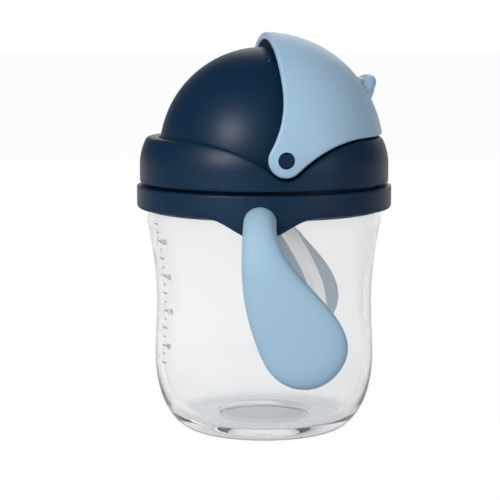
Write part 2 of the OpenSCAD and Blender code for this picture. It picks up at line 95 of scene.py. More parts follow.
def placeCamera(c):
    a, e = radians(c["swing"]), radians(c["pitch"])
    spot = Vector((c["distance"] * sin(a) - c["aside"] * cos(a),
                   -c["distance"] * cos(a) - c["aside"] * sin(a), c["height"])) / 1000
    look = Vector((-sin(a) * cos(e), cos(a) * cos(e), -sin(e)))
    data = bpy.data.cameras.new("camera")
    data.lens, data.sensor_width, data.clip_start = c["lens"], c["sensor"], c["nearest"]
    camera = toScene("camera", data)
    aimAt(camera, spot, look)
    bpy.context.scene.camera = camera


placeCamera(cameraSetup)


def meshPiece(name, points, faces, trim=True):
    # points in millimetres; doubles are merged and the faces turned outwards
    mesh = bpy.data.meshes.new(name)
    mesh.from_pydata([Vector(p) / 1000 for p in points], [], faces)
    work = bmesh.new()
    work.from_mesh(mesh)
    bmesh.ops.remove_doubles(work, verts=work.verts, dist=1e-6)
    if trim:
        bmesh.ops.dissolve_degenerate(work, edges=work.edges, dist=1e-7)
    bmesh.ops.recalc_face_normals(work, faces=work.faces)
    work.to_mesh(mesh)
    work.free()
    return toScene(name, mesh)


def finishPiece(piece, material, body, slotName, nodes=(), sharp=38):
    piece.data.materials.clear()
    piece.data.materials.append(material)
    piece.data.shade_smooth()
    piece.data.set_sharp_from_angle(angle=radians(sharp))
    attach(piece, body)
    if nodes:
        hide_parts(*nodes)
    return piece


def addMesh(name, points, faces, *finish, **more):
    return finishPiece(meshPiece(name, points, faces), *finish, **more)


def circle(n):
    return [2 * pi * i / n for i in range(n)]


def turned(outline, a):
    # an outline of (radius, height), turned about Z by an angle
    return [(r * cos(a), r * sin(a), z) for r, z in outline]


def skin(rings, loop=True):
    # the points of rings of equal length, and the quads between them; loop joins the
    # last ring to the first
    n, m = len(rings[0]), len(rings)
    faces = []
    for i in range(m if loop else m - 1):
        a, b = i * n, ((i + 1) % m) * n
        faces += [(a + j, a + (j + 1) % n, b + (j + 1) % n, b + j) for j in range(n)]
    return [p for ring in rings for p in ring], faces


def lathe(profile, turns=96, spin=None):
    # a closed profile of (radius, height) turned about Z; spin moves each point into place
    rings = [turned(profile, a) for a in circle(turns)]
    if spin:
        rings = [[spin(*p) for p in ring] for ring in rings]
    return skin(rings)


def joinParts(parts):
    points, faces = [], []
    for morePoints, moreFaces in parts:
        base = len(points)
        points += morePoints
        faces += [tuple(base + i for i in face) for face in moreFaces]
    return points, faces


def bend(start, corner, end, places):
    # points on the soft curve that stands in for a corner
    return [tuple(start * (1 - t) ** 2 + corner * 2 * t * (1 - t) + end * t * t) for t in places]


def roundCorners(points, radii, steps=5):
    # a closed outline with its corners rounded; a radius of 0 keeps the corner
    out = []
    n = len(points)
    for i in range(n):
        p, before, after = (Vector(points[j % n]) for j in (i, i - 1, i + 1))
        r = radii[i]
        if r <= 0:
            out.append(tuple(p))
            continue
        a, b = before - p, after - p
        reach = min(r, 0.48 * a.length, 0.48 * b.length)
        start, end = p + a.normalized() * reach, p + b.normalized() * reach
        out += bend(start, p, end, [s / steps for s in range(steps + 1)])
    return out


def arcPoints(cx, cz, r, a0, a1, n):
    return [(cx + r * cos(radians(a0 + (a1 - a0) * i / n)),
             cz + r * sin(radians(a0 + (a1 - a0) * i / n))) for i in range(n + 1)]


def smoothStep(t):
    t = max(0.0, min(1.0, t))
    return (1 - cos(pi * t)) / 2


def curveThrough(points, steps):
    # smooth curve through points, of any number of coordinates
    out = []
    n = len(points)
    for i in range(n - 1):
        p0, p1, p2, p3 = (Vector(points[max(0, min(n - 1, j))]) for j in (i - 1, i, i + 1, i + 2))
        for s in range(steps):
            t = s / steps
            out.append(0.5 * (2 * p1 + (p2 - p0) * t + (2 * p0 - 5 * p1 + 4 * p2 - p3) * t * t
                              + (3 * p1 - p0 - 3 * p2 + p3) * t ** 3))
    out.append(Vector(points[-1]))
    return out


# finishes: each is built in a node tree, from a dictionary of its colours and grain
def addNodes(tree, *kinds):
    return [tree.nodes.new(kind) for kind in kinds]


def setInputs(node, values):
    for label, value in values.items():
        node.inputs[label].default_value = value


def join(tree, *pairs):
    # each pair is an output and the input that it feeds
    for source, target in pairs:
        tree.links.new(source, target)


def inRange(tree, source, reach, values=(0, 1)):
    # a value's reach turned into a range of values
    ramp = tree.nodes.new("ShaderNodeMapRange")
    setInputs(ramp, dict(zip(("From Min", "From Max", "To Min", "To Max"), reach + values)))
    join(tree, (source, ramp.inputs["Value"]))
    return ramp.outputs["Result"]


def newMaterial(name):
    material = bpy.data.materials.new(name)
    material.use_nodes = True
    tree = material.node_tree
    place = tree.nodes.new("ShaderNodeTexCoord")
    return material, tree, tree.nodes["Principled BSDF"], place.outputs["Object"]


def addNoise(tree, place, scale, detail, stretch=(1, 1, 1)):
    noise, turn = addNodes(tree, "ShaderNodeTexNoise", "ShaderNodeMapping")
    setInputs(noise, {"Scale": scale, "Detail": detail})
    setInputs(turn, {"Scale": stretch})
    join(tree, (place, turn.inputs["Vector"]), (turn.outputs["Vector"], noise.inputs["Vector"]))
    return noise.outputs["Fac"]


def tint(tree, source, stops, target):
    # colours at places along a value, each stop a place and a colour
    ramp = tree.nodes.new("ShaderNodeValToRGB")
    steps = ramp.color_ramp.elements
    while len(steps) < len(stops):
        steps.new(0.5)
    for step, (place, colour) in zip(steps, stops):
        step.position, step.color = place, (*colour, 1)
    join(tree, (source, ramp.inputs["Fac"]), (ramp.outputs["Color"], target))


def addTones(tree, noise, f, shader):
    tint(tree, noise, [(0.32, f["dark"]), (0.68, f["light"])], shader.inputs["Base Color"])


def addGrain(tree, slow, fine, f, depth, shader):
    # roughness that wanders with slow noise, and a fine bump
    bump = tree.nodes.new("ShaderNodeBump")
    setInputs(bump, {"Strength": f["bump"], "Distance": depth})
    join(tree, (inRange(tree, slow, (0.3, 0.7), f["roughness"]), shader.inputs["Roughness"]),
         (fine, bump.inputs["Height"]), (bump.outputs["Normal"], shader.inputs["Normal"]))


def mouldedPlastic(name, f):
    # satin moulding: fine spark grain, a slow change of tone, roughness that wanders
    material, tree, shader, place = newMaterial(name)
    setInputs(shader, {"Specular IOR Level": f["gloss"], "Transmission Weight": f.get("clear", 0)})
    slow = addNoise(tree, place, 28, 2)
    addTones(tree, slow, f, shader)
    addGrain(tree, slow, addNoise(tree, place, f["grain"], 2), f, 0.0001, shader)
    return material


def multiplyNode(tree):
    both = tree.nodes.new("ShaderNodeVectorMath")
    both.operation = "MULTIPLY"
    return both


def shadeAroundHub(tree, place, f, colour):
    # painted shade: a darker middle, by the distance from the cup's own axis, for the shadowed floor seen
    # through the middle of the foot
    flat, far, result = multiplyNode(tree), tree.nodes.new("ShaderNodeVectorMath"), multiplyNode(tree)
    setInputs(flat, {1: (1, 1, 0)})
    far.operation = "LENGTH"
    join(tree, (place, flat.inputs[0]), (flat.outputs["Vector"], far.inputs[0]),
         (colour.outputs["Vector"], result.inputs[0]))
    tint(tree, inRange(tree, far.outputs["Value"], (0, f["width"])), f["hubShade"], result.inputs[1])
    return result


def clearPlastic(name, f):
    # a clear wall: a little greyer where it is seen edge on, and darker towards its bottom
    material, tree, shader, place = newMaterial(name)
    side, split = addNodes(tree, "ShaderNodeLayerWeight", "ShaderNodeSeparateXYZ")
    colour = multiplyNode(tree)
    setInputs(side, {"Blend": 0.5})
    join(tree, (place, split.inputs["Vector"]))
    tint(tree, inRange(tree, split.outputs["Z"], (0, f["height"])), f["tones"], colour.inputs[0])
    tint(tree, side.outputs["Facing"], f["edge"], colour.inputs[1])
    # painted shade in the middle of the foot, where the finish asks for it
    if "hubShade" in f:
        colour = shadeAroundHub(tree, place, f, colour)
    join(tree, (colour.outputs["Vector"], shader.inputs["Base Color"]))
    setInputs(shader, {"Transmission Weight": f["clear"], "IOR": f["ior"]})
    slow = addNoise(tree, place, f["wave"], 1, (1, 1, 0.35))
    addGrain(tree, slow, slow, f, 0.0005, shader)
    return material


def turnedSteel(name, f):
    # fine rings left by the lathe
    material, tree, shader, place = newMaterial(name)
    setInputs(shader, {"Metallic": 1})
    rings = addNoise(tree, place, f["lines"], 2, (0.05, 0.05, 1))
    addTones(tree, rings, f, shader)
    addGrain(tree, rings, rings, f, 0.0001, shader)
    return material


navyFinish = {"dark": (0.0010, 0.0175, 0.0455), "light": (0.0016, 0.0205, 0.0520), "gloss": 0.23,
              "roughness": (0.40, 0.46), "grain": 1500, "bump": 0.14}
blueFinish = {"dark": (0.315, 0.487, 0.645), "light": (0.333, 0.504, 0.662), "gloss": 0.4,
              "roughness": (0.42, 0.5), "grain": 1500, "bump": 0.12}
gripFinish = {"dark": (0.295, 0.455, 0.597), "light": (0.312, 0.472, 0.613), "gloss": 0.3,
              "roughness": (0.56, 0.66), "grain": 1100, "bump": 0.3}
fittingFinish = {"dark": (0.66, 0.73, 0.78), "light": (0.71, 0.77, 0.81), "gloss": 0.5,
                 "roughness": (0.28, 0.36), "grain": 1300, "bump": 0.08}
# the cup's darker middle stops are painted shade: the shadowed floor seen through its foot
cupFinish = {"tones": [(0.03, (0.50, 0.515, 0.54)), (0.09, (0.84, 0.845, 0.855)),
                       (0.15, (0.945, 0.950, 0.955)), (0.55, (0.945, 0.950, 0.955)),
                       (0.62, (0.968, 0.972, 0.976))],
             "height": 0.04, "hubShade": [(0.40, (0.60, 0.61, 0.63)), (0.43, (1, 1, 1))], "width": 0.038,
             "edge": [(0.50, (1, 1, 1)), (0.94, (0.90, 0.92, 0.94))], "clear": 0.90, "ior": 1.15,
             "wave": 14, "roughness": (0.0, 0.02), "bump": 0.004}
siliconeFinish = {"tones": [(0, (0.88, 0.885, 0.89)), (1, (0.90, 0.905, 0.91))], "height": 0.09,
                  "edge": [(0.5, (1, 1, 1)), (1, (0.80, 0.81, 0.82))], "clear": 0.35, "ior": 1.41, "wave": 90,
                  "roughness": (0.22, 0.34), "bump": 0.05}
strawFinish = {"tones": [(0, (0.96, 0.965, 0.97)), (1, (0.97, 0.975, 0.98))], "height": 0.09,
               "edge": [(0.55, (1, 1, 1)), (1, (0.90, 0.91, 0.92))], "clear": 0.1, "ior": 1.25, "wave": 90,
               "roughness": (0.04, 0.08), "bump": 0.01}
printFinish = {"dark": (0.40, 0.42, 0.44), "light": (0.46, 0.48, 0.50), "gloss": 0.3,
               "roughness": (0.4, 0.5), "grain": 2000, "bump": 0.05, "clear": 0.4}
steelFinish = {"dark": (0.42, 0.43, 0.45), "light": (0.60, 0.61, 0.63), "lines": 2600,
               "roughness": (0.24, 0.36), "bump": 0.15}

navy = mouldedPlastic("navySatin", navyFinish)
paleBlue = mouldedPlastic("paleBlueSatin", blueFinish)
gripSkin = mouldedPlastic("gripSoftTouch", gripFinish)
frosted = mouldedPlastic("frostedFitting", fittingFinish)
clearWall = clearPlastic("clearCupWall", cupFinish)
silicone = clearPlastic("milkySilicone", siliconeFinish)
milky = clearPlastic("milkyStraw", strawFinish)
scaleInk = mouldedPlastic("scalePrint", printFinish)
steel = turnedSteel("turnedSteel", steelFinish)
print("finishes made")

# the straw, the only free hose, and its weight
strawSetup = {
    "outer": 2.5, "bore": 1.7, "start": (-5.2905, 99.4552),
    "route": [(0, 0), (0, -3.4), (0.5, -8), (2.1, -14), (4.7, -20), (8, -25.6), (11.5, -31),
              (14.9, -36.4), (18.2, -42), (21.2, -48), (23.4, -54), (24.3, -59.6), (24.3, -63.6)],
}


def strawPoints(s):
    flat = curveThrough([(s["start"][0] + x, s["start"][1] + z) for x, z in s["route"]], 6)
    return [toLid(x, 0, z - lidPlane["pivot"]) for x, z in flat]


def tubeMesh(path, outer, bore, sides=32):
    side = Vector(toLid(0, 1, 0)) - Vector(toLid(0, 0, 0))
    rings = {outer: [], bore: []}
    for i, p in enumerate(path):
        along = (Vector(path[min(len(path) - 1, i + 1)]) - Vector(path[max(0, i - 1)])).normalized()
        up = along.cross(side)
        for r in rings:
            rings[r].append([tuple(Vector(p) + r * (side * cos(a) + up * sin(a)))
                             for a in circle(sides)])
    return skin(rings[outer] + rings[bore][::-1])


strawPath = strawPoints(strawSetup)
straw = addMesh("strawHose", *tubeMesh(strawPath, strawSetup["outer"], strawSetup["bore"]), milky, "lid",
                "silicone", ["straw_tube"])

weightSetup = {"x": 19.0095, "low": 18.855, "top": 35.855, "r": 6.5, "core": 4.6, "coreLow": 22.055,
               "coreTop": 32.055, "way": 1.6, "gap": 0.1, "socket": 0.95, "socketUp": 1.6, "spigot": 0.8,
               "spigotUp": 1.5, "neck": 3.6, "neckUp": 2, "drain": 0.9, "well": 3.8, "wellDown": 1.2}


def atWeight(x, y, z):
    return toLid(weightSetup["x"] + x, y, z - lidPlane["pivot"])


def makeWeight(w):
    # a cap and a base that snap together round a steel core
    r, way, core, drain, well, neck = (w[k] for k in ("r", "way", "core", "drain", "well", "neck"))
    low, top, coreLow, coreTop = w["low"], w["top"], w["coreLow"], w["coreTop"]
    split = (low + top) / 2
    bore, roof, floor = core + w["gap"], coreTop + 0.15, coreLow - 0.05
    mouth, mouthUp = core + w["socket"], split + w["socketUp"]
    plug, plugUp = core + w["spigot"], split + w["spigotUp"]
    neckLow, wellLow = top - w["neckUp"], coreLow - w["wellDown"]
    pieces = []
    for name, node, outline, radii, steps, material, slotName in (
            ("weightCap", "weight_cap",
             [(way, roof), (bore, roof), (bore, mouthUp), (mouth, mouthUp), (mouth, split), (r, split),
              (r, neckLow), (neck, neckLow), (neck, top), (way, top)],
             [0, 0.3, 0, 0, 0.1, 0.25, 2.8, 0.5, 0.4, 0.2], 6, frosted, "straw_fittings"),
            ("weightBase", "weight_base",
             [(drain, low), (r, low), (r, split), (plug, split), (plug, plugUp), (bore, plugUp),
              (bore, floor), (well, floor), (well, wellLow), (drain, wellLow)],
             [0.3, 2.4, 0.25, 0, 0.1, 0.1, 0.2, 0, 0.2, 0.1], 6, frosted, "straw_fittings"),
            ("weightCore", "weight_core",
             [(way, coreLow), (core, coreLow), (core, coreTop), (way, coreTop)],
             [0.2, 0.4, 0.4, 0.2], 4, steel, "weight_steel")):
        mesh = lathe(roundCorners(outline, radii, steps), 72, atWeight)
        pieces.append(addMesh(name, *mesh, material, "lid", slotName, [node]))
    return pieces


weightPieces = makeWeight(weightSetup)

# the clear cup: foot, belly, waist, shoulder and neck, from the bottom up
cup = {"shoulderZ": 75.4, "shoulderR": 38.7, "band": 5.9, "waistR": 35.6, "waistZ": 42, "bellyR": 36.2,
       "bellyZ": 25, "footR": 22.5, "square": 2.1, "wall": 2.3, "floor": 4.4, "puntR": 15.5, "puntDepth": 1.8,
       "neckR": 34.2, "neckTop": 82, "neckWall": 2.2}


def cupCorner(c, r0, z0, r1, z1, n=28):
    # a soft, slightly square corner from the foot up to the belly
    out = []
    for i in range(n + 1):
        a = pi / 2 * i / n
        out.append((r0 + (r1 - r0) * max(0, sin(a)) ** (2 / c["square"]),
                    z1 - (z1 - z0) * max(0, cos(a)) ** (2 / c["square"])))
    return out


def cupSide(c, z):
    if z < c["waistZ"]:
        share = smoothStep((z - c["bellyZ"]) / (c["waistZ"] - c["bellyZ"]))
        return c["bellyR"] + (c["waistR"] - c["bellyR"]) * share
    flare = (c["shoulderZ"] - c["band"] - c["waistZ"]) ** 2 / (2 * (c["shoulderR"] - c["waistR"]))
    return min(c["shoulderR"], c["waistR"] + (z - c["waistZ"]) ** 2 / (2 * flare))


def cupOutline(c):
    top, out, neck, wall = c["shoulderZ"], c["shoulderR"], c["neckR"], c["wall"]
    punt, up, low = c["puntR"], c["puntDepth"], c["floor"]
    rise = [c["bellyZ"] + (top - c["band"] - c["bellyZ"]) * i / 40 for i in range(1, 41)]
    inTop = top - wall - 0.5
    fall = [inTop - (inTop - c["bellyZ"]) * i / 40 for i in range(40)]
    neckIn = neck - c["neckWall"]
    line = [(0.0, up + 0.3), (4, up + 0.28), (8, up + 0.15), (punt - 2.4, up), (punt - 1.4, up - 0.3),
            (punt - 0.7, 0.5), (punt - 0.2, 0.06), (punt + 0.5, 0), (c["footR"] - 0.6, 0)]
    line += cupCorner(c, c["footR"], 0, c["bellyR"], c["bellyZ"])
    line += [(cupSide(c, z), z) for z in rise]
    line += [(out, top - 1.4)] + arcPoints(out - 0.8, top - 0.8, 0.8, 0, 90, 5)
    line += [(neck + 0.5, top), (neck + 0.14, top + 0.14), (neck, top + 0.5)]
    line += arcPoints(neck - 0.7, c["neckTop"] - 0.7, 0.7, 0, 90, 5)
    line += arcPoints(neckIn + 0.5, c["neckTop"] - 0.5, 0.5, 90, 180, 4)
    line += roundCorners([(neckIn, top + 0.4), (neckIn, top - 1.6), (out - wall, inTop + 0.2),
                          (out - wall, inTop)], [0, 0.8, 0.6, 0], 6)[:-1]
    line += [(cupSide(c, z) - wall, z) for z in fall]
    line += cupCorner(c, c["footR"] - wall, low, c["bellyR"] - wall, c["bellyZ"])[::-1]
    return line + [(10, low), (5, low + 0.1), (0.0, low + 0.15)]


def cupMesh(c, turns=192):
    # its outline starts and ends on the axis, so it isn't closed
    outline = cupOutline(c)
    n = len(outline)
    points = [p for a in circle(turns) for p in turned(outline, a)]
    faces = []
    for i in range(turns):
        a, b = i * n, ((i + 1) % turns) * n
        faces += [(a + j, b + j, b + j + 1, a + j + 1) for j in range(n - 1)]
    return points, faces


cupBody = addMesh("clearCup", *cupMesh(cup), clearWall, "cup", "clear_plastic", ["cup_body"], sharp=60)
print("cup made")

# the ring hangs on the shoulder and droops to a point over each grip
ringSetup = {"inner": 37.9, "outer": 42, "low": 73.8, "seat": 75.5, "high": 81.3, "lipIn": 34.5, "lip": 1.5,
             "droopIn": 39.0, "droop": 6.5, "half": 18, "lowRound": 2.4, "topRound": 0.7}


def ringMesh(s, turns=360):
    inner, outer, seat, lipTop = s["inner"], s["outer"], s["seat"], s["seat"] + s["lip"]
    rings = []
    for a in circle(turns):
        low = s["low"] - (s["droop"] * smoothStep(1 - abs(cos(a)) * outer / s["half"]) + 0.02)
        outline = roundCorners(
            [(inner, lipTop), (inner, s["high"]), (outer, s["high"]), (outer, low), (s["droopIn"], low),
             (s["droopIn"], seat), (s["lipIn"], seat), (s["lipIn"], lipTop)],
            [0.15, 0.4, s["topRound"], s["lowRound"], 0.5, 0, 0.3, 0.3], 7)
        rings.append(turned(outline, a))
    return skin(rings)


addMesh("handleRing", *ringMesh(ringSetup), navy, "handles", "navy_plastic", ["handle_ring"])

# the grips: an oval that follows a bent line outwards and down, and swings to one side
gripSetup = {"root": 5.1, "wide": 14.2, "rootT": 4.9, "wideT": 4.3, "reach": 13, "tuck": 1.8, "drop": 15,
             "wideZ": 39.5, "lowZ": 22.9, "swing": 13.8, "lag": 0.5, "swingZ": 31.5, "start": (41.0, 73.0),
             "share": 0.4, "square": 0.35}


def gripLine(g, t):
    r0, z0 = g["start"]
    if t < g["share"]:
        a = pi / 2 * t / g["share"]
        return Vector((r0 + g["reach"] * sin(a), z0 - g["drop"] * (1 - cos(a))))
    e = sin(pi / 2 * (t - g["share"]) / (1 - g["share"]))
    low = z0 - g["drop"]
    return Vector((r0 + g["reach"] - g["tuck"] * e * e, low - (low - g["lowZ"]) * e))


def gripMesh(g, side, rows=96, sides=64):
    z0 = g["start"][1]
    rings = []
    for i in range(rows + 1):
        t = sin(pi / 2 * i / rows) if i > rows * 0.5 else i / rows * sin(pi / 4) * 2
        t = min(t, 0.9995)
        p = gripLine(g, t)
        d = gripLine(g, min(1, t + 0.002)) - gripLine(g, max(0, t - 0.002))
        n = Vector((-d[1], d[0])).normalized()
        z = p[1]
        cap = 0 if z > g["wideZ"] else (g["wideZ"] - z) / (g["wideZ"] - g["lowZ"])
        share = min(1, (z0 - z) / (z0 - g["wideZ"]))
        w = (g["root"] + (g["wide"] - g["root"]) * smoothStep(share)) if z > g["wideZ"] \
            else g["wide"] * sqrt(max(0, 1 - cap ** 2))
        h = (g["rootT"] + (g["wideT"] - g["rootT"]) * share) * sqrt(max(0, 1 - cap ** 5))
        lean = g["swing"] * smoothStep((z0 - g["lag"] - z) / (z0 - g["swingZ"]))
        power = 2 / (2 + g["square"] * smoothStep(t / g["share"]))
        ring = []
        for a in circle(sides):
            u = copysign(abs(sin(a)) ** power, sin(a))
            v = copysign(abs(cos(a)) ** power, cos(a))
            ring.append((lean + w * u, side * (p[0] + n[0] * h * v), p[1] + n[1] * h * v))
        rings.append(ring)
    points, faces = skin(rings, loop=False)
    first, last = len(points), len(points) + 1
    middle = [sum(p[k] for p in rings[-1]) / sides for k in range(3)]
    points += [(0, side * g["start"][0], g["start"][1]), tuple(middle)]
    for j in range(sides):
        k = (j + 1) % sides
        faces += [(first, k, j), (last, rows * sides + j, rows * sides + k)]
    return points, faces


for side, name, node in ((1, "leftGrip", "left_grip"), (-1, "rightGrip", "right_grip")):
    addMesh(name, *gripMesh(gripSetup, side), gripSkin, "handles", "grip_rubber", [node])
print("handles made")

# the lid's collar: a rounded band whose top edge dips round the pivots and rises between them
collar = {"inner": 34.6, "outer": 41, "low": 82.3, "flankR": 18.5, "flankZ": 88.0, "shelfLow": 83.5,
          "shelfTop": 85.0, "shelfIn": 32.0, "skirtIn": 35.5, "skirtOut": 37.6, "skirtLow": 77.3, "dip": 6.5,
          "slope": 40, "reach": 29, "rise": 5.2, "edge": 1.0, "lip": 0.5, "ease": 0.3, "round": 0.5}


def crestOf(dip, slope, reach, rise):
    a = radians(slope)
    r = (reach * sin(a) - rise * cos(a) - dip) / (1 - cos(a))
    return r, (reach, rise + 0.03 - r)


def scallopHeight(c, x):
    # the collar's top edge against the forward distance from the pivot
    x = abs(x)
    a = radians(c["slope"])
    r, at = crestOf(c["dip"], c["slope"], c["reach"], c["rise"])
    footX, headX = c["dip"] * sin(a), at[0] - r * sin(a)
    if x < footX:
        return -sqrt(c["dip"] ** 2 - x * x)
    if x < headX:
        return -c["dip"] * cos(a) + (x - footX) * tan(a)
    if x < at[0]:
        return min(c["rise"], at[1] + sqrt(r * r - (x - at[0]) ** 2))
    return c["rise"]


def collarOuter(c, z):
    if z <= c["flankZ"]:
        return c["outer"]
    return c["outer"] - c["flankR"] + sqrt(c["flankR"] ** 2 - (z - c["flankZ"]) ** 2)


def collarMesh(c, turns=480):
    ease, soft, shelf, under = c["ease"], c["round"], c["shelfTop"], c["shelfLow"]
    shelfIn, skirtIn, skirtOut, skirtLow = c["shelfIn"], c["skirtIn"], c["skirtOut"], c["skirtLow"]
    inside = [(c["inner"], shelf), (shelfIn + ease, shelf), (shelfIn, shelf - ease), (shelfIn, under + ease),
              (shelfIn + ease, under), (skirtIn - soft, under), (skirtIn, under - soft),
              (skirtIn, skirtLow + 0.4), (skirtIn + 0.4, skirtLow), (skirtOut - soft, skirtLow),
              (skirtOut, skirtLow + soft), (skirtOut, c["low"])]
    rings = []
    for a in circle(turns):
        r = c["outer"]
        for _ in range(8):
            zOut = lidPlane["pivot"] + scallopHeight(c, r * cos(a))
            r = collarOuter(c, zOut)
        zIn = lidPlane["pivot"] + scallopHeight(c, c["inner"] * cos(a))
        edge = min(c["edge"], 0.45 * (zOut - c["low"]))
        lip = min(c["lip"], 0.8 * (zIn - c["shelfTop"]))
        outline = [(c["outer"] - 0.6, c["low"]), (c["outer"] - 0.18, c["low"] + 0.18)]
        z0, z1 = c["low"] + 0.6, zOut - edge
        flank = [z0 + (z1 - z0) * k / 16 for k in range(17)]
        outline += [(collarOuter(c, z), z) for z in flank]
        corner, ledge = Vector((r, zOut)), Vector((c["inner"], zIn))
        over = (ledge - corner).normalized()
        outline += bend(Vector(outline[-1]), corner, corner + over * edge, (0.17, 0.33, 0.5, 0.67, 0.83, 1))
        outline += bend(ledge - over * lip, ledge, ledge - Vector((0, lip)), (0, 0.33, 0.67, 1))
        rings.append([toLid(x, y, z - lidPlane["pivot"]) for x, y, z in turned(outline + inside, a)])
    return skin(rings)


addMesh("lidCollar", *collarMesh(collar), navy, "lid", "navy_plastic", ["lid_collar"])
print("collar made")

# the lid's dome: a ball with a leaning trough for the spout, two pivot pins and two bumps
# that the cover clicks over
dome = {"outer": 34.5, "wall": 2.2, "low": -6.85, "seat": (4.5, 21), "slope": 50, "half": 6, "length": 24.7,
        "floor": 1.8, "seatHole": 3.05, "ventHole": 1.55, "bossR": 4.6, "bossIn": 2.6, "bossOut": 1.9,
        "bossEase": 0.3, "pinR": 2.5, "pinIn": 2, "pinEnd": 38.95, "pinEase": 0.7, "bumpR": 1.6,
        "bumpUp": 62, "bumpBack": 0.9, "bumpIn": 0.7}


def toTrough(x, y, z):
    # the leaning frame on the trough's floor, placed on the cup
    c, s = cos(radians(dome["slope"])), sin(radians(dome["slope"]))
    return toLid(dome["seat"][0] + x * c + z * s, y, dome["seat"][1] - x * s + z * c)


def domeOutline(d):
    out = []
    for r, up in ((d["outer"], 1), (d["outer"] - d["wall"], -1)):
        arc = [(max(0.0, x), z) for x, z in arcPoints(0, 0, r, 0, 90, 44)]
        line = [(r, d["low"] + (0.3 if up == 1 else 0.2)), (r, d["low"] / 2)] + arc
        out += line if up == 1 else line[::-1]
    return out + [(d["outer"] - d["wall"] + 0.2, d["low"]), (d["outer"] - 0.3, d["low"])]


def stadium(half, length, low, high, rows=20):
    # an upright prism with round ends, from x 0 to length along the trough
    turns = [pi * i / rows for i in range(rows + 1)]
    ring = [(-half * sin(a), -half * cos(a)) for a in turns]
    ring += [(length - half + half * sin(a), half * cos(a)) for a in turns]
    n = len(ring)
    points = [toTrough(x, y, z) for z in (low, high) for x, y in ring]
    faces = [(i, (i + 1) % n, n + (i + 1) % n, n + i) for i in range(n)]
    return points, faces + [tuple(range(n))[::-1], tuple(range(n, 2 * n))]


def rodAcross(side, r, start, end, ease):
    # a rod along the pivot's axis with an eased far end
    eased = [(r - ease + ease * cos(a), end - ease + ease * sin(a))
             for a in (radians(t) for t in (22, 45, 68, 90))]
    outline = [(0.0, start), (r, start), (r, end - ease)] + eased + [(0.0, end)]
    return lathe(outline, 48, lambda x, y, z: toLid(x, side * z, y))


def ballOutline(r, n):
    return [(max(0.0, x), z) for x, z in arcPoints(0, 0, r, -90, 90, n)]


def toolObject(name, points, faces):
    return meshPiece(name, points, faces, trim=False)


def combine(target, tool, operation):
    cut = target.modifiers.new("cut", "BOOLEAN")
    cut.object, cut.operation, cut.solver = tool, operation, "EXACT"
    result = bpy.data.meshes.new_from_object(target.evaluated_get(bpy.context.evaluated_depsgraph_get()))
    target.modifiers.clear()
    target.data = result
    bpy.data.objects.remove(tool)


def makeDome(d):
    shell = toolObject("lidDome", *lathe(domeOutline(d), 128, toLid))
    thick = d["floor"]
    walls = toolObject("troughWalls", *stadium(d["half"] + thick, d["length"] + thick, -thick, 40))
    combine(walls, toolObject("ball", *lathe(ballOutline(d["outer"] - 0.4, 60), 96, toLid)), "INTERSECT")
    combine(shell, walls, "UNION")
    combine(shell, toolObject("trough", *stadium(d["half"], d["length"], 0, 40)), "DIFFERENCE")
    for x, r in ((0, d["seatHole"]), (d["length"] / 2, d["ventHole"])):
        drill = lathe([(0.0, -8), (r, -8), (r, 8), (0.0, 8)], 40, lambda a, b, z, x=x: toTrough(a + x, b, z))
        combine(shell, toolObject("drill", *drill), "DIFFERENCE")
    return finishPiece(shell, navy, "lid", "navy_plastic", ["lid_dome"], 32)


def domeFittings(d):
    parts = []
    a = radians(d["bumpUp"])
    reach = d["outer"] - d["bumpIn"]
    for side in (-1, 1):
        parts.append(rodAcross(side, d["bossR"], d["outer"] - d["bossIn"], d["outer"] + d["bossOut"],
                               d["bossEase"]))
        parts.append(rodAcross(side, d["pinR"], d["outer"] - d["pinIn"], d["pinEnd"], d["pinEase"]))
        parts.append(lathe(ballOutline(d["bumpR"], 16), 32, lambda x, y, z, s=side: toLid(
            x - d["bumpBack"], y + s * reach * cos(a), z + reach * sin(a))))
    return joinParts(parts)


makeDome(dome)
addMesh("domePins", *domeFittings(dome), navy, "lid", "navy_plastic", sharp=50)
print("dome made")

# the hinged cover: part of a ball between a front and a rear edge, with round ears at the pivots
cover = {"outer": 39.3, "wall": 2.4, "ear": 5.7, "gap": 0.8, "waist": 22.5, "fore": 0.3, "brow": 400,
         "rim": 0.75, "hole": 2.68, "tabUp": 32, "tabHalf": 8, "tabRoot": 37.4, "tabSquare": 2.6,
         "tabHug": 0.9}


def coverChains(c, rows):
    # the cover's front and rear edges in the side view, drawn in by the rim's radius
    e, big = c["rim"], c["outer"]
    ear = c["ear"] - e
    r, at = crestOf(collar["dip"], collar["slope"], collar["reach"], collar["rise"])
    front = arcPoints(0, 0, ear, -90, -90 + collar["slope"], 16)
    front += arcPoints(*at, r + c["gap"] + e, 90 + collar["slope"], 90, 60)
    level = front[-1][1]
    end = sqrt(big ** 2 - level ** 2)
    front += [(at[0] + (end - at[0]) * i / 24, level) for i in range(1, 25)]
    nape = (c["waist"] ** 2 + c["fore"] ** 2 - c["ear"] ** 2) / (2 * (c["ear"] + c["fore"]))
    swing = degrees(atan2(c["waist"], nape - c["fore"]))
    rear = arcPoints(0, 0, ear, -90, -180 - swing, 24)
    rear += arcPoints(c["fore"] - nape, c["waist"], nape + e, -swing, 0, 50)
    for i in range(1, 900):
        a = radians(i * 0.02)
        x = c["fore"] - c["brow"] + (c["brow"] + e) * cos(a)
        z = c["waist"] + (c["brow"] + e) * sin(a)
        if x * x + z * z >= big ** 2:
            break
        rear.append((x, z))
    return [evenChain(c, chain, rows) for chain in (front, rear)]


def onBall(c, x, z):
    rest = c["outer"] ** 2 - x * x - z * z
    return Vector((x, sqrt(max(0.0, rest)), z)).normalized() * c["outer"]


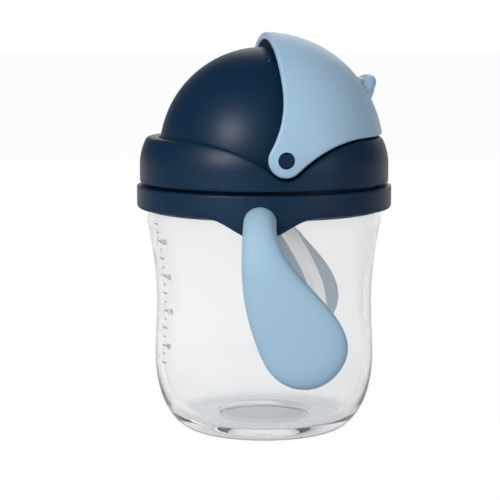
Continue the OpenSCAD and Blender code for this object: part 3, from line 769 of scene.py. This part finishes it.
def evenChain(c, chain, rows):
    points = [onBall(c, x, z) for x, z in chain]
    points[-1] = Vector((points[-1].x, 0, points[-1].z)).normalized() * c["outer"]
    steps = [0.0]
    for a, b in zip(points, points[1:]):
        steps.append(steps[-1] + (b - a).length)
    out, k = [], 0
    for i in range(rows + 1):
        goal = steps[-1] * i / rows
        while k < len(steps) - 2 and steps[k + 1] < goal:
            k += 1
        span = max(1e-9, steps[k + 1] - steps[k])
        out.append(points[k].lerp(points[k + 1], min(1, (goal - steps[k]) / span)).normalized() * c["outer"])
    return out


def ballRow(a, b, columns):
    angle = a.angle(b)
    if angle < 1e-6:
        return [a.copy() for _ in range(columns + 1)]
    return [(a * sin(angle * (1 - i / columns)) + b * sin(angle * i / columns)) / sin(angle)
            for i in range(columns + 1)]


def coverMesh(c, rows=96, columns=84):
    front, rear = coverChains(c, rows)
    half = [ballRow(f, r, columns) for f, r in zip(front, rear)]
    grid = half + [[Vector((p.x, -p.y, p.z)) for p in row] for row in half[-2::-1]]
    m, n = len(grid), columns + 1
    outer = [p for row in grid for p in row]
    inner = [p * (1 - c["wall"] / c["outer"]) for p in outer]
    faces = []
    for i in range(m - 1):
        for j in range(n - 1):
            q = (i * n + j, i * n + j + 1, (i + 1) * n + j + 1, (i + 1) * n + j)
            faces += [q, tuple(v + m * n for v in q[::-1])]
    loop = [i * n for i in range(m)] + [i * n + n - 1 for i in range(m - 2, 0, -1)]
    away = []
    for k, v in enumerate(loop):
        along = (outer[loop[(k + 1) % len(loop)]] - outer[loop[k - 1]]).normalized()
        away.append(outer[v].normalized().cross(along).normalized())
    centre = onBall(c, 10, 22)
    if away[len(front) - 1].dot(centre - outer[loop[len(front) - 1]]) > 0:
        away = [-t for t in away]
    rims = []
    rim, normals = c["rim"], [outer[v].normalized() for v in loop]
    for a in (radians(t) for t in (18, 36, 54, 72, 90)):
        rims.append([outer[v] + w * rim * sin(a) - n * rim * (1 - cos(a))
                     for v, w, n in zip(loop, away, normals)])
    for a in (radians(t) for t in (0, 18, 36, 54, 72)):
        rims.append([outer[v] + w * rim * cos(a) - n * (c["wall"] - rim + rim * sin(a))
                     for v, w, n in zip(loop, away, normals)])
    points = outer + inner
    base, size = len(points), len(loop)
    for ring in rims:
        points = points + ring
    index = [loop] + [[base + k * size + i for i in range(size)] for k in range(len(rims))]
    index.append([v + m * n for v in loop])
    for a, b in zip(index, index[1:]):
        faces += [(a[i], a[(i + 1) % size], b[(i + 1) % size], b[i]) for i in range(size)]
    return [toLid(*p) for p in points], faces


def tabMesh(c, rows=40):
    # thumb lump: a side profile swept across, drawn in towards both ends
    root, power = c["tabRoot"], c["tabSquare"]
    side = curveThrough([(root, -4.7), (39.2, -4.15), (40.9, -3.0), (42.5, -1.6), (43.7, -0.55), (44.25, 0.8),
                         (43.9, 2.2), (42.8, 3.15), (41.5, 3.2), (40.6, 3.35), (39.9, 3.9), (39.2, 4.6),
                         (root, 5.2)], 5)
    cosUp, sinUp = cos(radians(c["tabUp"])), sin(radians(c["tabUp"]))
    rings = []
    for i in range(rows + 1):
        across = cos(pi * (1 - i / rows))
        y = c["tabHalf"] * across
        narrow = max(0.0, 1 - abs(across) ** power) ** (1 / power)
        drop = c["outer"] - sqrt(c["outer"] ** 2 - y * y)
        ring = []
        for p in side:
            reach = root + (p[0] - root) * narrow - drop * c["tabHug"]
            up = p[1] * (0.5 + 0.5 * narrow)
            ring.append(toLid(reach * cosUp - up * sinUp, y, reach * sinUp + up * cosUp))
        rings.append(ring)
    points, faces = skin(rings, loop=False)
    n = len(side)
    return points, faces + [tuple(range(n)), tuple(range(rows * n, (rows + 1) * n))[::-1]]


flipCover = addMesh("flipCover", *coverMesh(cover), paleBlue, "cover", "blue_plastic", ["flip_cover"],
                    sharp=60)
axle = lathe([(0.0, -60), (cover["hole"], -60), (cover["hole"], 60), (0.0, 60)], 64,
             lambda x, y, z: toLid(x, z, y))
combine(flipCover, toolObject("axleHole", *axle), "DIFFERENCE")
finishPiece(flipCover, paleBlue, "cover", "blue_plastic", sharp=50)
addMesh("thumbTab", *tabMesh(cover), paleBlue, "cover", "blue_plastic", sharp=70)
print("cover made")

# the soft spout lies folded in the trough: a tube, its root in the lid and the fold between
spout = {"outer": 3.6, "bore": 1.7, "bead": 4.2, "length": 23, "from": 3.0, "fold": 4.8, "seatHole": 3,
         "flange": 5.4, "flangeTop": 0.6, "lift": 0.05, "under": -1.85, "barb": 4.6, "barbLow": -3.05,
         "stemR": 3.4, "stem": 8, "elbow": 3.4, "elbowR": 3.55, "elbowLow": 0.7}


def spoutOutline(s):
    bore, outer, bead, near, far = s["bore"], s["outer"], s["bead"], s["from"], s["length"]
    return roundCorners([(bore, near), (bore, far), (bead, far), (bead, far - 3.6), (outer, far - 4.6),
                         (outer, near)], [0.2, 0.7, 1.3, 1.2, 0.8, 0.2], 6)


def toSpout(x, y, z):
    # z runs along the folded tube, from its fold
    return toTrough(z, y, spout["fold"] + x)


def elbowMesh(s, rows=20, sides=40):
    # the soft fold, from upright at the flange to along the trough
    r, low = s["elbow"], s["elbowLow"]
    path = [(0, 0.2)]
    for i in range(rows + 1):
        a = pi / 2 * i / rows
        path.append((r - r * cos(a), low + (s["fold"] - low) * sin(a)))
    path.append((r + 0.3, s["fold"]))
    rings = {s["elbowR"]: [], s["bore"]: []}
    for i, p in enumerate(path):
        b, c = path[max(0, i - 1)], path[min(len(path) - 1, i + 1)]
        d = Vector((c[0] - b[0], c[1] - b[1])).normalized()
        for size in rings:
            rings[size].append([toTrough(p[0] - d[1] * size * cos(t), size * sin(t),
                                         p[1] + d[0] * size * cos(t)) for t in circle(sides)])
    return skin(rings[s["elbowR"]] + rings[s["bore"]][::-1])


def baseOutline(s):
    # a flange in the trough, a neck through its hole, a barb under it and a stem
    bore, neck, stem, lift, top = s["bore"], s["seatHole"], s["stemR"], s["lift"], s["flangeTop"]
    return roundCorners(
        [(bore, top), (s["flange"], top), (s["flange"], lift), (neck, lift), (neck, s["under"]),
         (s["barb"], s["under"]), (s["barb"], s["barbLow"]), (stem, s["barbLow"]), (stem, -s["stem"]),
         (bore, -s["stem"])],
        [0, 0.25, 0, 0, 0, 0.3, 0.4, 0.3, 0.4, 0.2], 4)


addMesh("spoutTube", *lathe(spoutOutline(spout), 56, toSpout), silicone, "spout", "silicone", ["spout_tip"])
addMesh("spoutRoot", *lathe(baseOutline(spout), 56, toTrough), silicone, "lid", "silicone", ["spout_base"])
spoutFold = addMesh("spoutFold", *elbowMesh(spout), silicone, "lid", "silicone")
spoutFold.parent = None
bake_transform(spoutFold)

gasket = {"inner": 32.1, "outer": 34.8, "low": 82.05, "high": 83.45, "round": 0.5}
gasketOutline = roundCorners([(gasket[r], gasket[z]) for r, z in (
    ("inner", "low"), ("outer", "low"), ("outer", "high"), ("inner", "high"))], [gasket["round"]] * 4, 5)
addMesh("lidGasket", *lathe(gasketOutline, 144), silicone, "seal", "silicone", ["lid_gasket"])
print("spout and gasket made")


def newTree(name, inputs):
    # a tree with named inputs; it hands back the sockets' identifiers for a modifier
    tree = bpy.data.node_groups.new(name, "GeometryNodeTree")
    face = tree.interface
    sockets = {}
    for label, kind in inputs.items():
        sockets[label] = face.new_socket(label, in_out="INPUT", socket_type="NodeSocket" + kind).identifier
    face.new_socket("Geometry", in_out="OUTPUT", socket_type="NodeSocketGeometry")
    return tree, sockets, tree.nodes.new("NodeGroupInput")


def geoNodes(tree, *kinds):
    return addNodes(tree, *("GeometryNode" + kind for kind in kinds))


def wire(tree, given, inputs, joins, last):
    # inputs: a tree input, the node and the socket it feeds; joins: a node and its output,
    # the node and the socket it feeds; last: the geometry that the tree ends with
    real, paint = geoNodes(tree, "RealizeInstances", "SetMaterial")
    result = tree.nodes.new("NodeGroupOutput")
    for label, node, socket in inputs + [("Material", paint, "Material")]:
        join(tree, (given.outputs[label], node.inputs[socket]))
    for source, output, node, socket in joins:
        join(tree, (source.outputs[output], node.inputs[socket]))
    join(tree, (last, real.inputs["Geometry"]), (real.outputs["Geometry"], paint.inputs["Geometry"]),
         (paint.outputs["Geometry"], result.inputs["Geometry"]))


# screw threads inside the lid's skirt and round the neck
threads = {"turns": 0.9, "lead": 3.0, "ridge": 0.6, "start": 20, "neck": (34.1, 78.0), "skirt": (35.6, 79.5)}


def threadTree():
    # a round ridge swept along a spiral
    tree, sockets, given = newTree("threadRidge", {
        "Radius": "Float", "Height": "Float", "Turns": "Float", "Ridge": "Float", "Start": "Float",
        "Low": "Float", "Material": "Material"})
    spiral, profile, sweep, place = geoNodes(
        tree, "CurveSpiral", "CurvePrimitiveCircle", "CurveToMesh", "Transform")
    lift, turn = addNodes(tree, "ShaderNodeCombineXYZ", "ShaderNodeCombineXYZ")
    setInputs(spiral, {"Resolution": 96})
    setInputs(profile, {"Resolution": 12})
    setInputs(sweep, {"Fill Caps": True})
    wire(tree, given, [
        ("Radius", spiral, "Start Radius"), ("Radius", spiral, "End Radius"), ("Height", spiral, "Height"),
        ("Turns", spiral, "Rotations"), ("Ridge", profile, "Radius"), ("Low", lift, "Z"),
        ("Start", turn, "Z")], [
        (spiral, "Curve", sweep, "Curve"), (profile, "Curve", sweep, "Profile Curve"),
        (sweep, "Mesh", place, "Geometry"), (lift, "Vector", place, "Translation"),
        (turn, "Vector", place, "Rotation")], place.outputs["Geometry"])
    return tree, sockets


def growPiece(name, tree, sockets, values):
    # runs a tree on an empty mesh and keeps the plain mesh it makes
    piece = toScene(name, bpy.data.meshes.new(name))
    step = piece.modifiers.new(name, "NODES")
    step.node_group = tree
    for label, value in values.items():
        step[sockets[label]] = value
    bpy.context.view_layer.update()
    piece.data = bpy.data.meshes.new_from_object(piece.evaluated_get(bpy.context.evaluated_depsgraph_get()))
    piece.modifiers.clear()
    return piece


ridgeTree, ridgeSockets = threadTree()
for key, material, body, slotName in (("neck", clearWall, "cup", "clear_plastic"),
                                      ("skirt", navy, "lid", "navy_plastic")):
    radius, low = threads[key]
    ridge = growPiece(key + "Thread", ridgeTree, ridgeSockets, {
        "Radius": radius / 1000, "Height": threads["lead"] * threads["turns"] / 1000,
        "Turns": threads["turns"], "Ridge": threads["ridge"] / 1000, "Start": radians(threads["start"]),
        "Low": low / 1000, "Material": material})
    finishPiece(ridge, material, body, slotName, sharp=60)
print("threads made")

# the measuring scale on the cup's side: bars and plain numbers
scale = {"turn": 207.5, "low": 24.3, "step": 2.85, "count": 17, "short": 1.9, "long": 3.4, "line": 0.42,
         "proud": 0.1, "numbers": {"80": 30.0, "120": 41.4, "160": 52.8, "200": 64.2}, "digit": 2.6,
         "aside": 3.4, "sunk": 0.02}


def tickTree():
    # bars one above another on the outside of a surface, every second one longer
    tree, sockets, given = newTree("scaleTicks", {
        "Surface": "Object", "Material": "Material", "Count": "Int", "Step": "Vector", "Low": "Vector",
        "Outside": "Vector", "Inwards": "Vector", "Short": "Float", "Long": "Float", "Line": "Vector"})
    row, thing, ray, here, keep, move, bar, copies, index = geoNodes(
        tree, "MeshLine", "ObjectInfo", "Raycast", "InputPosition", "CaptureAttribute", "SetPosition",
        "MeshCube", "InstanceOnPoints", "InputIndex")
    start, odd, pick, size, turn = addNodes(
        tree, "ShaderNodeVectorMath", "ShaderNodeMath", "ShaderNodeMix", "ShaderNodeCombineXYZ",
        "FunctionNodeAxesToRotation")
    keep.capture_items.new("VECTOR", "Normal")
    turn.primary_axis, turn.secondary_axis = "X", "Z"
    setInputs(turn, {"Secondary Axis": (0, 0, 1)})
    odd.operation = "MODULO"
    setInputs(odd, {1: 2})
    setInputs(ray, {"Ray Length": 0.05})
    setInputs(size, {"X": 1, "Z": 1})
    wire(tree, given, [
        ("Surface", thing, "Object"), ("Count", row, "Count"), ("Step", row, "Offset"),
        ("Low", row, "Start Location"), ("Outside", start, 1), ("Inwards", ray, "Ray Direction"),
        ("Short", pick, "B"), ("Long", pick, "A"), ("Line", bar, "Size")], [
        (thing, "Geometry", ray, "Target Geometry"), (here, "Position", start, 0),
        (start, "Vector", ray, "Source Position"), (row, "Mesh", keep, "Geometry"),
        (ray, "Hit Normal", keep, "Normal"), (keep, "Geometry", move, "Geometry"),
        (ray, "Hit Position", move, "Position"), (move, "Geometry", copies, "Points"),
        (bar, "Mesh", copies, "Instance"), (keep, "Normal", turn, "Primary Axis"),
        (turn, "Rotation", copies, "Rotation"), (index, "Index", odd, 0), (odd, "Value", pick, "Factor"),
        (pick, "Result", size, "Y"), (size, "Vector", copies, "Scale")], copies.outputs["Instances"])
    return tree, sockets


def numberTree():
    # a plain number as a thin raised plate, turned and moved onto the wall
    tree, sockets, given = newTree("scaleNumber", {
        "Number": "String", "Size": "Float", "Proud": "Float", "Place": "Vector", "Turn": "Vector",
        "Material": "Material"})
    digits, solid, fill, rise, flip, both, weld, move = geoNodes(
        tree, "StringToCurves", "RealizeInstances", "FillCurve", "ExtrudeMesh", "FlipFaces", "JoinGeometry",
        "MergeByDistance", "Transform")
    digits.align_x, digits.align_y = "CENTER", "MIDDLE"
    setInputs(rise, {"Individual": False})
    setInputs(weld, {"Distance": 0.000002})
    wire(tree, given, [
        ("Number", digits, "String"), ("Size", digits, "Size"), ("Proud", rise, "Offset Scale"),
        ("Place", move, "Translation"), ("Turn", move, "Rotation")], [
        (digits, "Curve Instances", solid, "Geometry"), (solid, "Geometry", fill, "Curve"),
        (fill, "Mesh", rise, "Mesh"), (fill, "Mesh", flip, "Mesh"), (rise, "Mesh", both, "Geometry"),
        (flip, "Mesh", both, "Geometry"), (both, "Geometry", weld, "Geometry"),
        (weld, "Geometry", move, "Geometry")], move.outputs["Geometry"])
    return tree, sockets


def makeScale(s):
    a = radians(s["turn"])
    out = Vector((cos(a), sin(a), 0))
    tree, sockets = tickTree()
    ticks = growPiece("scaleTicks", tree, sockets, {
        "Surface": cupBody, "Material": scaleInk, "Count": s["count"], "Step": (0, 0, s["step"] / 1000),
        "Low": (0, 0, s["low"] / 1000), "Outside": tuple(out * 0.06), "Inwards": tuple(-out),
        "Short": s["short"], "Long": s["long"], "Line": (s["proud"] * 2 / 1000, 0.001, s["line"] / 1000)})
    finishPiece(ticks, scaleInk, "cup", "clear_plastic")
    tree, sockets = numberTree()
    for number, z in s["numbers"].items():
        r = cupSide(cup, z)
        b = a + s["aside"] / r
        plate = growPiece("scaleNumber" + number, tree, sockets, {
            "Number": number, "Size": s["digit"] / 1000, "Proud": s["proud"] / 1000, "Material": scaleInk,
            "Place": metres(((r - s["sunk"]) * cos(b), (r - s["sunk"]) * sin(b), z)),
            "Turn": (pi / 2, 0, b + pi / 2)})
        finishPiece(plate, scaleInk, "cup", "clear_plastic")


makeScale(scale)
print("scale made")

# the vent valve and the straw's connector keep their CAD shape and get a better finish
for node, material in (("vent_valve", silicone), ("straw_connector", frosted)):
    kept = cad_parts[node]
    kept.data.materials.clear()
    kept.data.materials.append(material)


# the studio: white to the camera, to mirrors and through clear walls, and a soft light on the cup
studio = {"fill": (0.15, -0.93, -0.33), "bright": 0.48, "low": 0.20, "dim": 0.06,
          "back": (0.15, 0.989, 0), "white": (0.72, 0.98), "near": (0.2, 0.6),
          "floor": 0.9, "glow": 1.06, "paint": 0.6, "rough": 0.9, "half": 6, "under": 0.0002}
lamps = {"keyLamp": {"spot": (-0.60, -0.80, 0.55), "size": 0.34, "power": 9},
         "sideLamp": {"spot": (0.75, -0.6, 0.3), "size": 0.4, "power": 1.8},
         "rimLamp": {"spot": (0.1, 0.9, 0.6), "size": 0.6, "power": 1.5}}


def twoValues(tree, first, second, operation="MAXIMUM"):
    step = tree.nodes.new("ShaderNodeMath")
    step.operation = operation
    join(tree, (first, step.inputs[0]), (second, step.inputs[1]))
    return step.outputs["Value"]


def seenRays(tree, glossy):
    # 1 for a ray from the camera or through a clear wall, and a share for a reflection
    rays = tree.nodes.new("ShaderNodeLightPath").outputs
    plain = twoValues(tree, rays["Is Camera Ray"], rays["Is Transmission Ray"])
    return twoValues(tree, plain, twoValues(tree, rays["Is Glossy Ray"], glossy, "MULTIPLY"))


def alongAxis(tree, output, axis):
    # how far a place or a direction lies along an axis
    place, along = addNodes(tree, "ShaderNodeTexCoord", "ShaderNodeVectorMath")
    along.operation = "DOT_PRODUCT"
    setInputs(along, {1: axis})
    join(tree, (place.outputs[output], along.inputs[0]))
    return along.outputs["Value"]


def placeFloor(s):
    # white to the camera; its reflection is white behind the cup and as lit in front of it
    material, tree, shader, place = newMaterial("studioFloor")
    setInputs(shader, {"Base Color": (s["paint"], s["paint"], s["paint"], 1), "Roughness": s["rough"]})
    glow, mixed, share = addNodes(tree, "ShaderNodeEmission", "ShaderNodeMixShader", "ShaderNodeMath")
    setInputs(glow, {"Strength": s["glow"]})
    share.operation = "MULTIPLY"
    setInputs(share, {1: s["floor"]})
    behind = inRange(tree, alongAxis(tree, "Object", s["back"]), s["near"])
    join(tree, (seenRays(tree, behind), share.inputs[0]), (share.outputs["Value"], mixed.inputs["Fac"]),
         (shader.outputs["BSDF"], mixed.inputs[1]), (glow.outputs["Emission"], mixed.inputs[2]),
         (mixed.outputs["Shader"], tree.nodes["Material Output"].inputs["Surface"]))
    mesh = bpy.data.meshes.new("floor")
    corners = [(x * s["half"], y * s["half"], -s["under"]) for x, y in ((-1, -1), (1, -1), (1, 1), (-1, 1))]
    mesh.from_pydata(corners, [], [(0, 1, 2, 3)])
    mesh.materials.append(material)
    toScene("floor", mesh)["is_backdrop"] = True


def placeSky(s):
    # soft fill from the front; to the camera and through clear walls it is white, as is
    # what reflects from behind the cup
    world = bpy.data.worlds.new("studio")
    bpy.context.scene.world = world
    world.use_nodes = True
    tree = world.node_tree
    light = tree.nodes["Background"]
    white, mixed, one = addNodes(tree, "ShaderNodeBackground", "ShaderNodeMixShader", "ShaderNodeValue")
    one.outputs[0].default_value = 1
    front = inRange(tree, alongAxis(tree, "Generated", s["fill"]), (-1, 1), (s["low"], s["bright"]))
    behind = inRange(tree, alongAxis(tree, "Generated", s["back"]), s["white"], (s["dim"], 1))
    join(tree, (front, light.inputs["Strength"]), (seenRays(tree, behind), white.inputs["Strength"]),
         (seenRays(tree, one.outputs[0]), mixed.inputs["Fac"]),
         (light.outputs["Background"], mixed.inputs[1]), (white.outputs["Background"], mixed.inputs[2]),
         (mixed.outputs["Shader"], tree.nodes["World Output"].inputs["Surface"]))
    for background in (light, white):
        setInputs(background, {"Color": (1, 1, 1, 1)})


def placeLamp(name, l):
    data = bpy.data.lights.new(name, "AREA")
    data.shape, data.size, data.energy = "DISK", l["size"], l["power"]
    middle = Vector((0, 0, 0.07))
    aimAt(toScene(name, data), l["spot"], middle - Vector(l["spot"]))


placeFloor(studio)
placeSky(studio)
for name, lamp in lamps.items():
    placeLamp(name, lamp)
bpy.context.scene.view_settings.view_transform = "Standard"
print("studio made")

low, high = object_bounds()
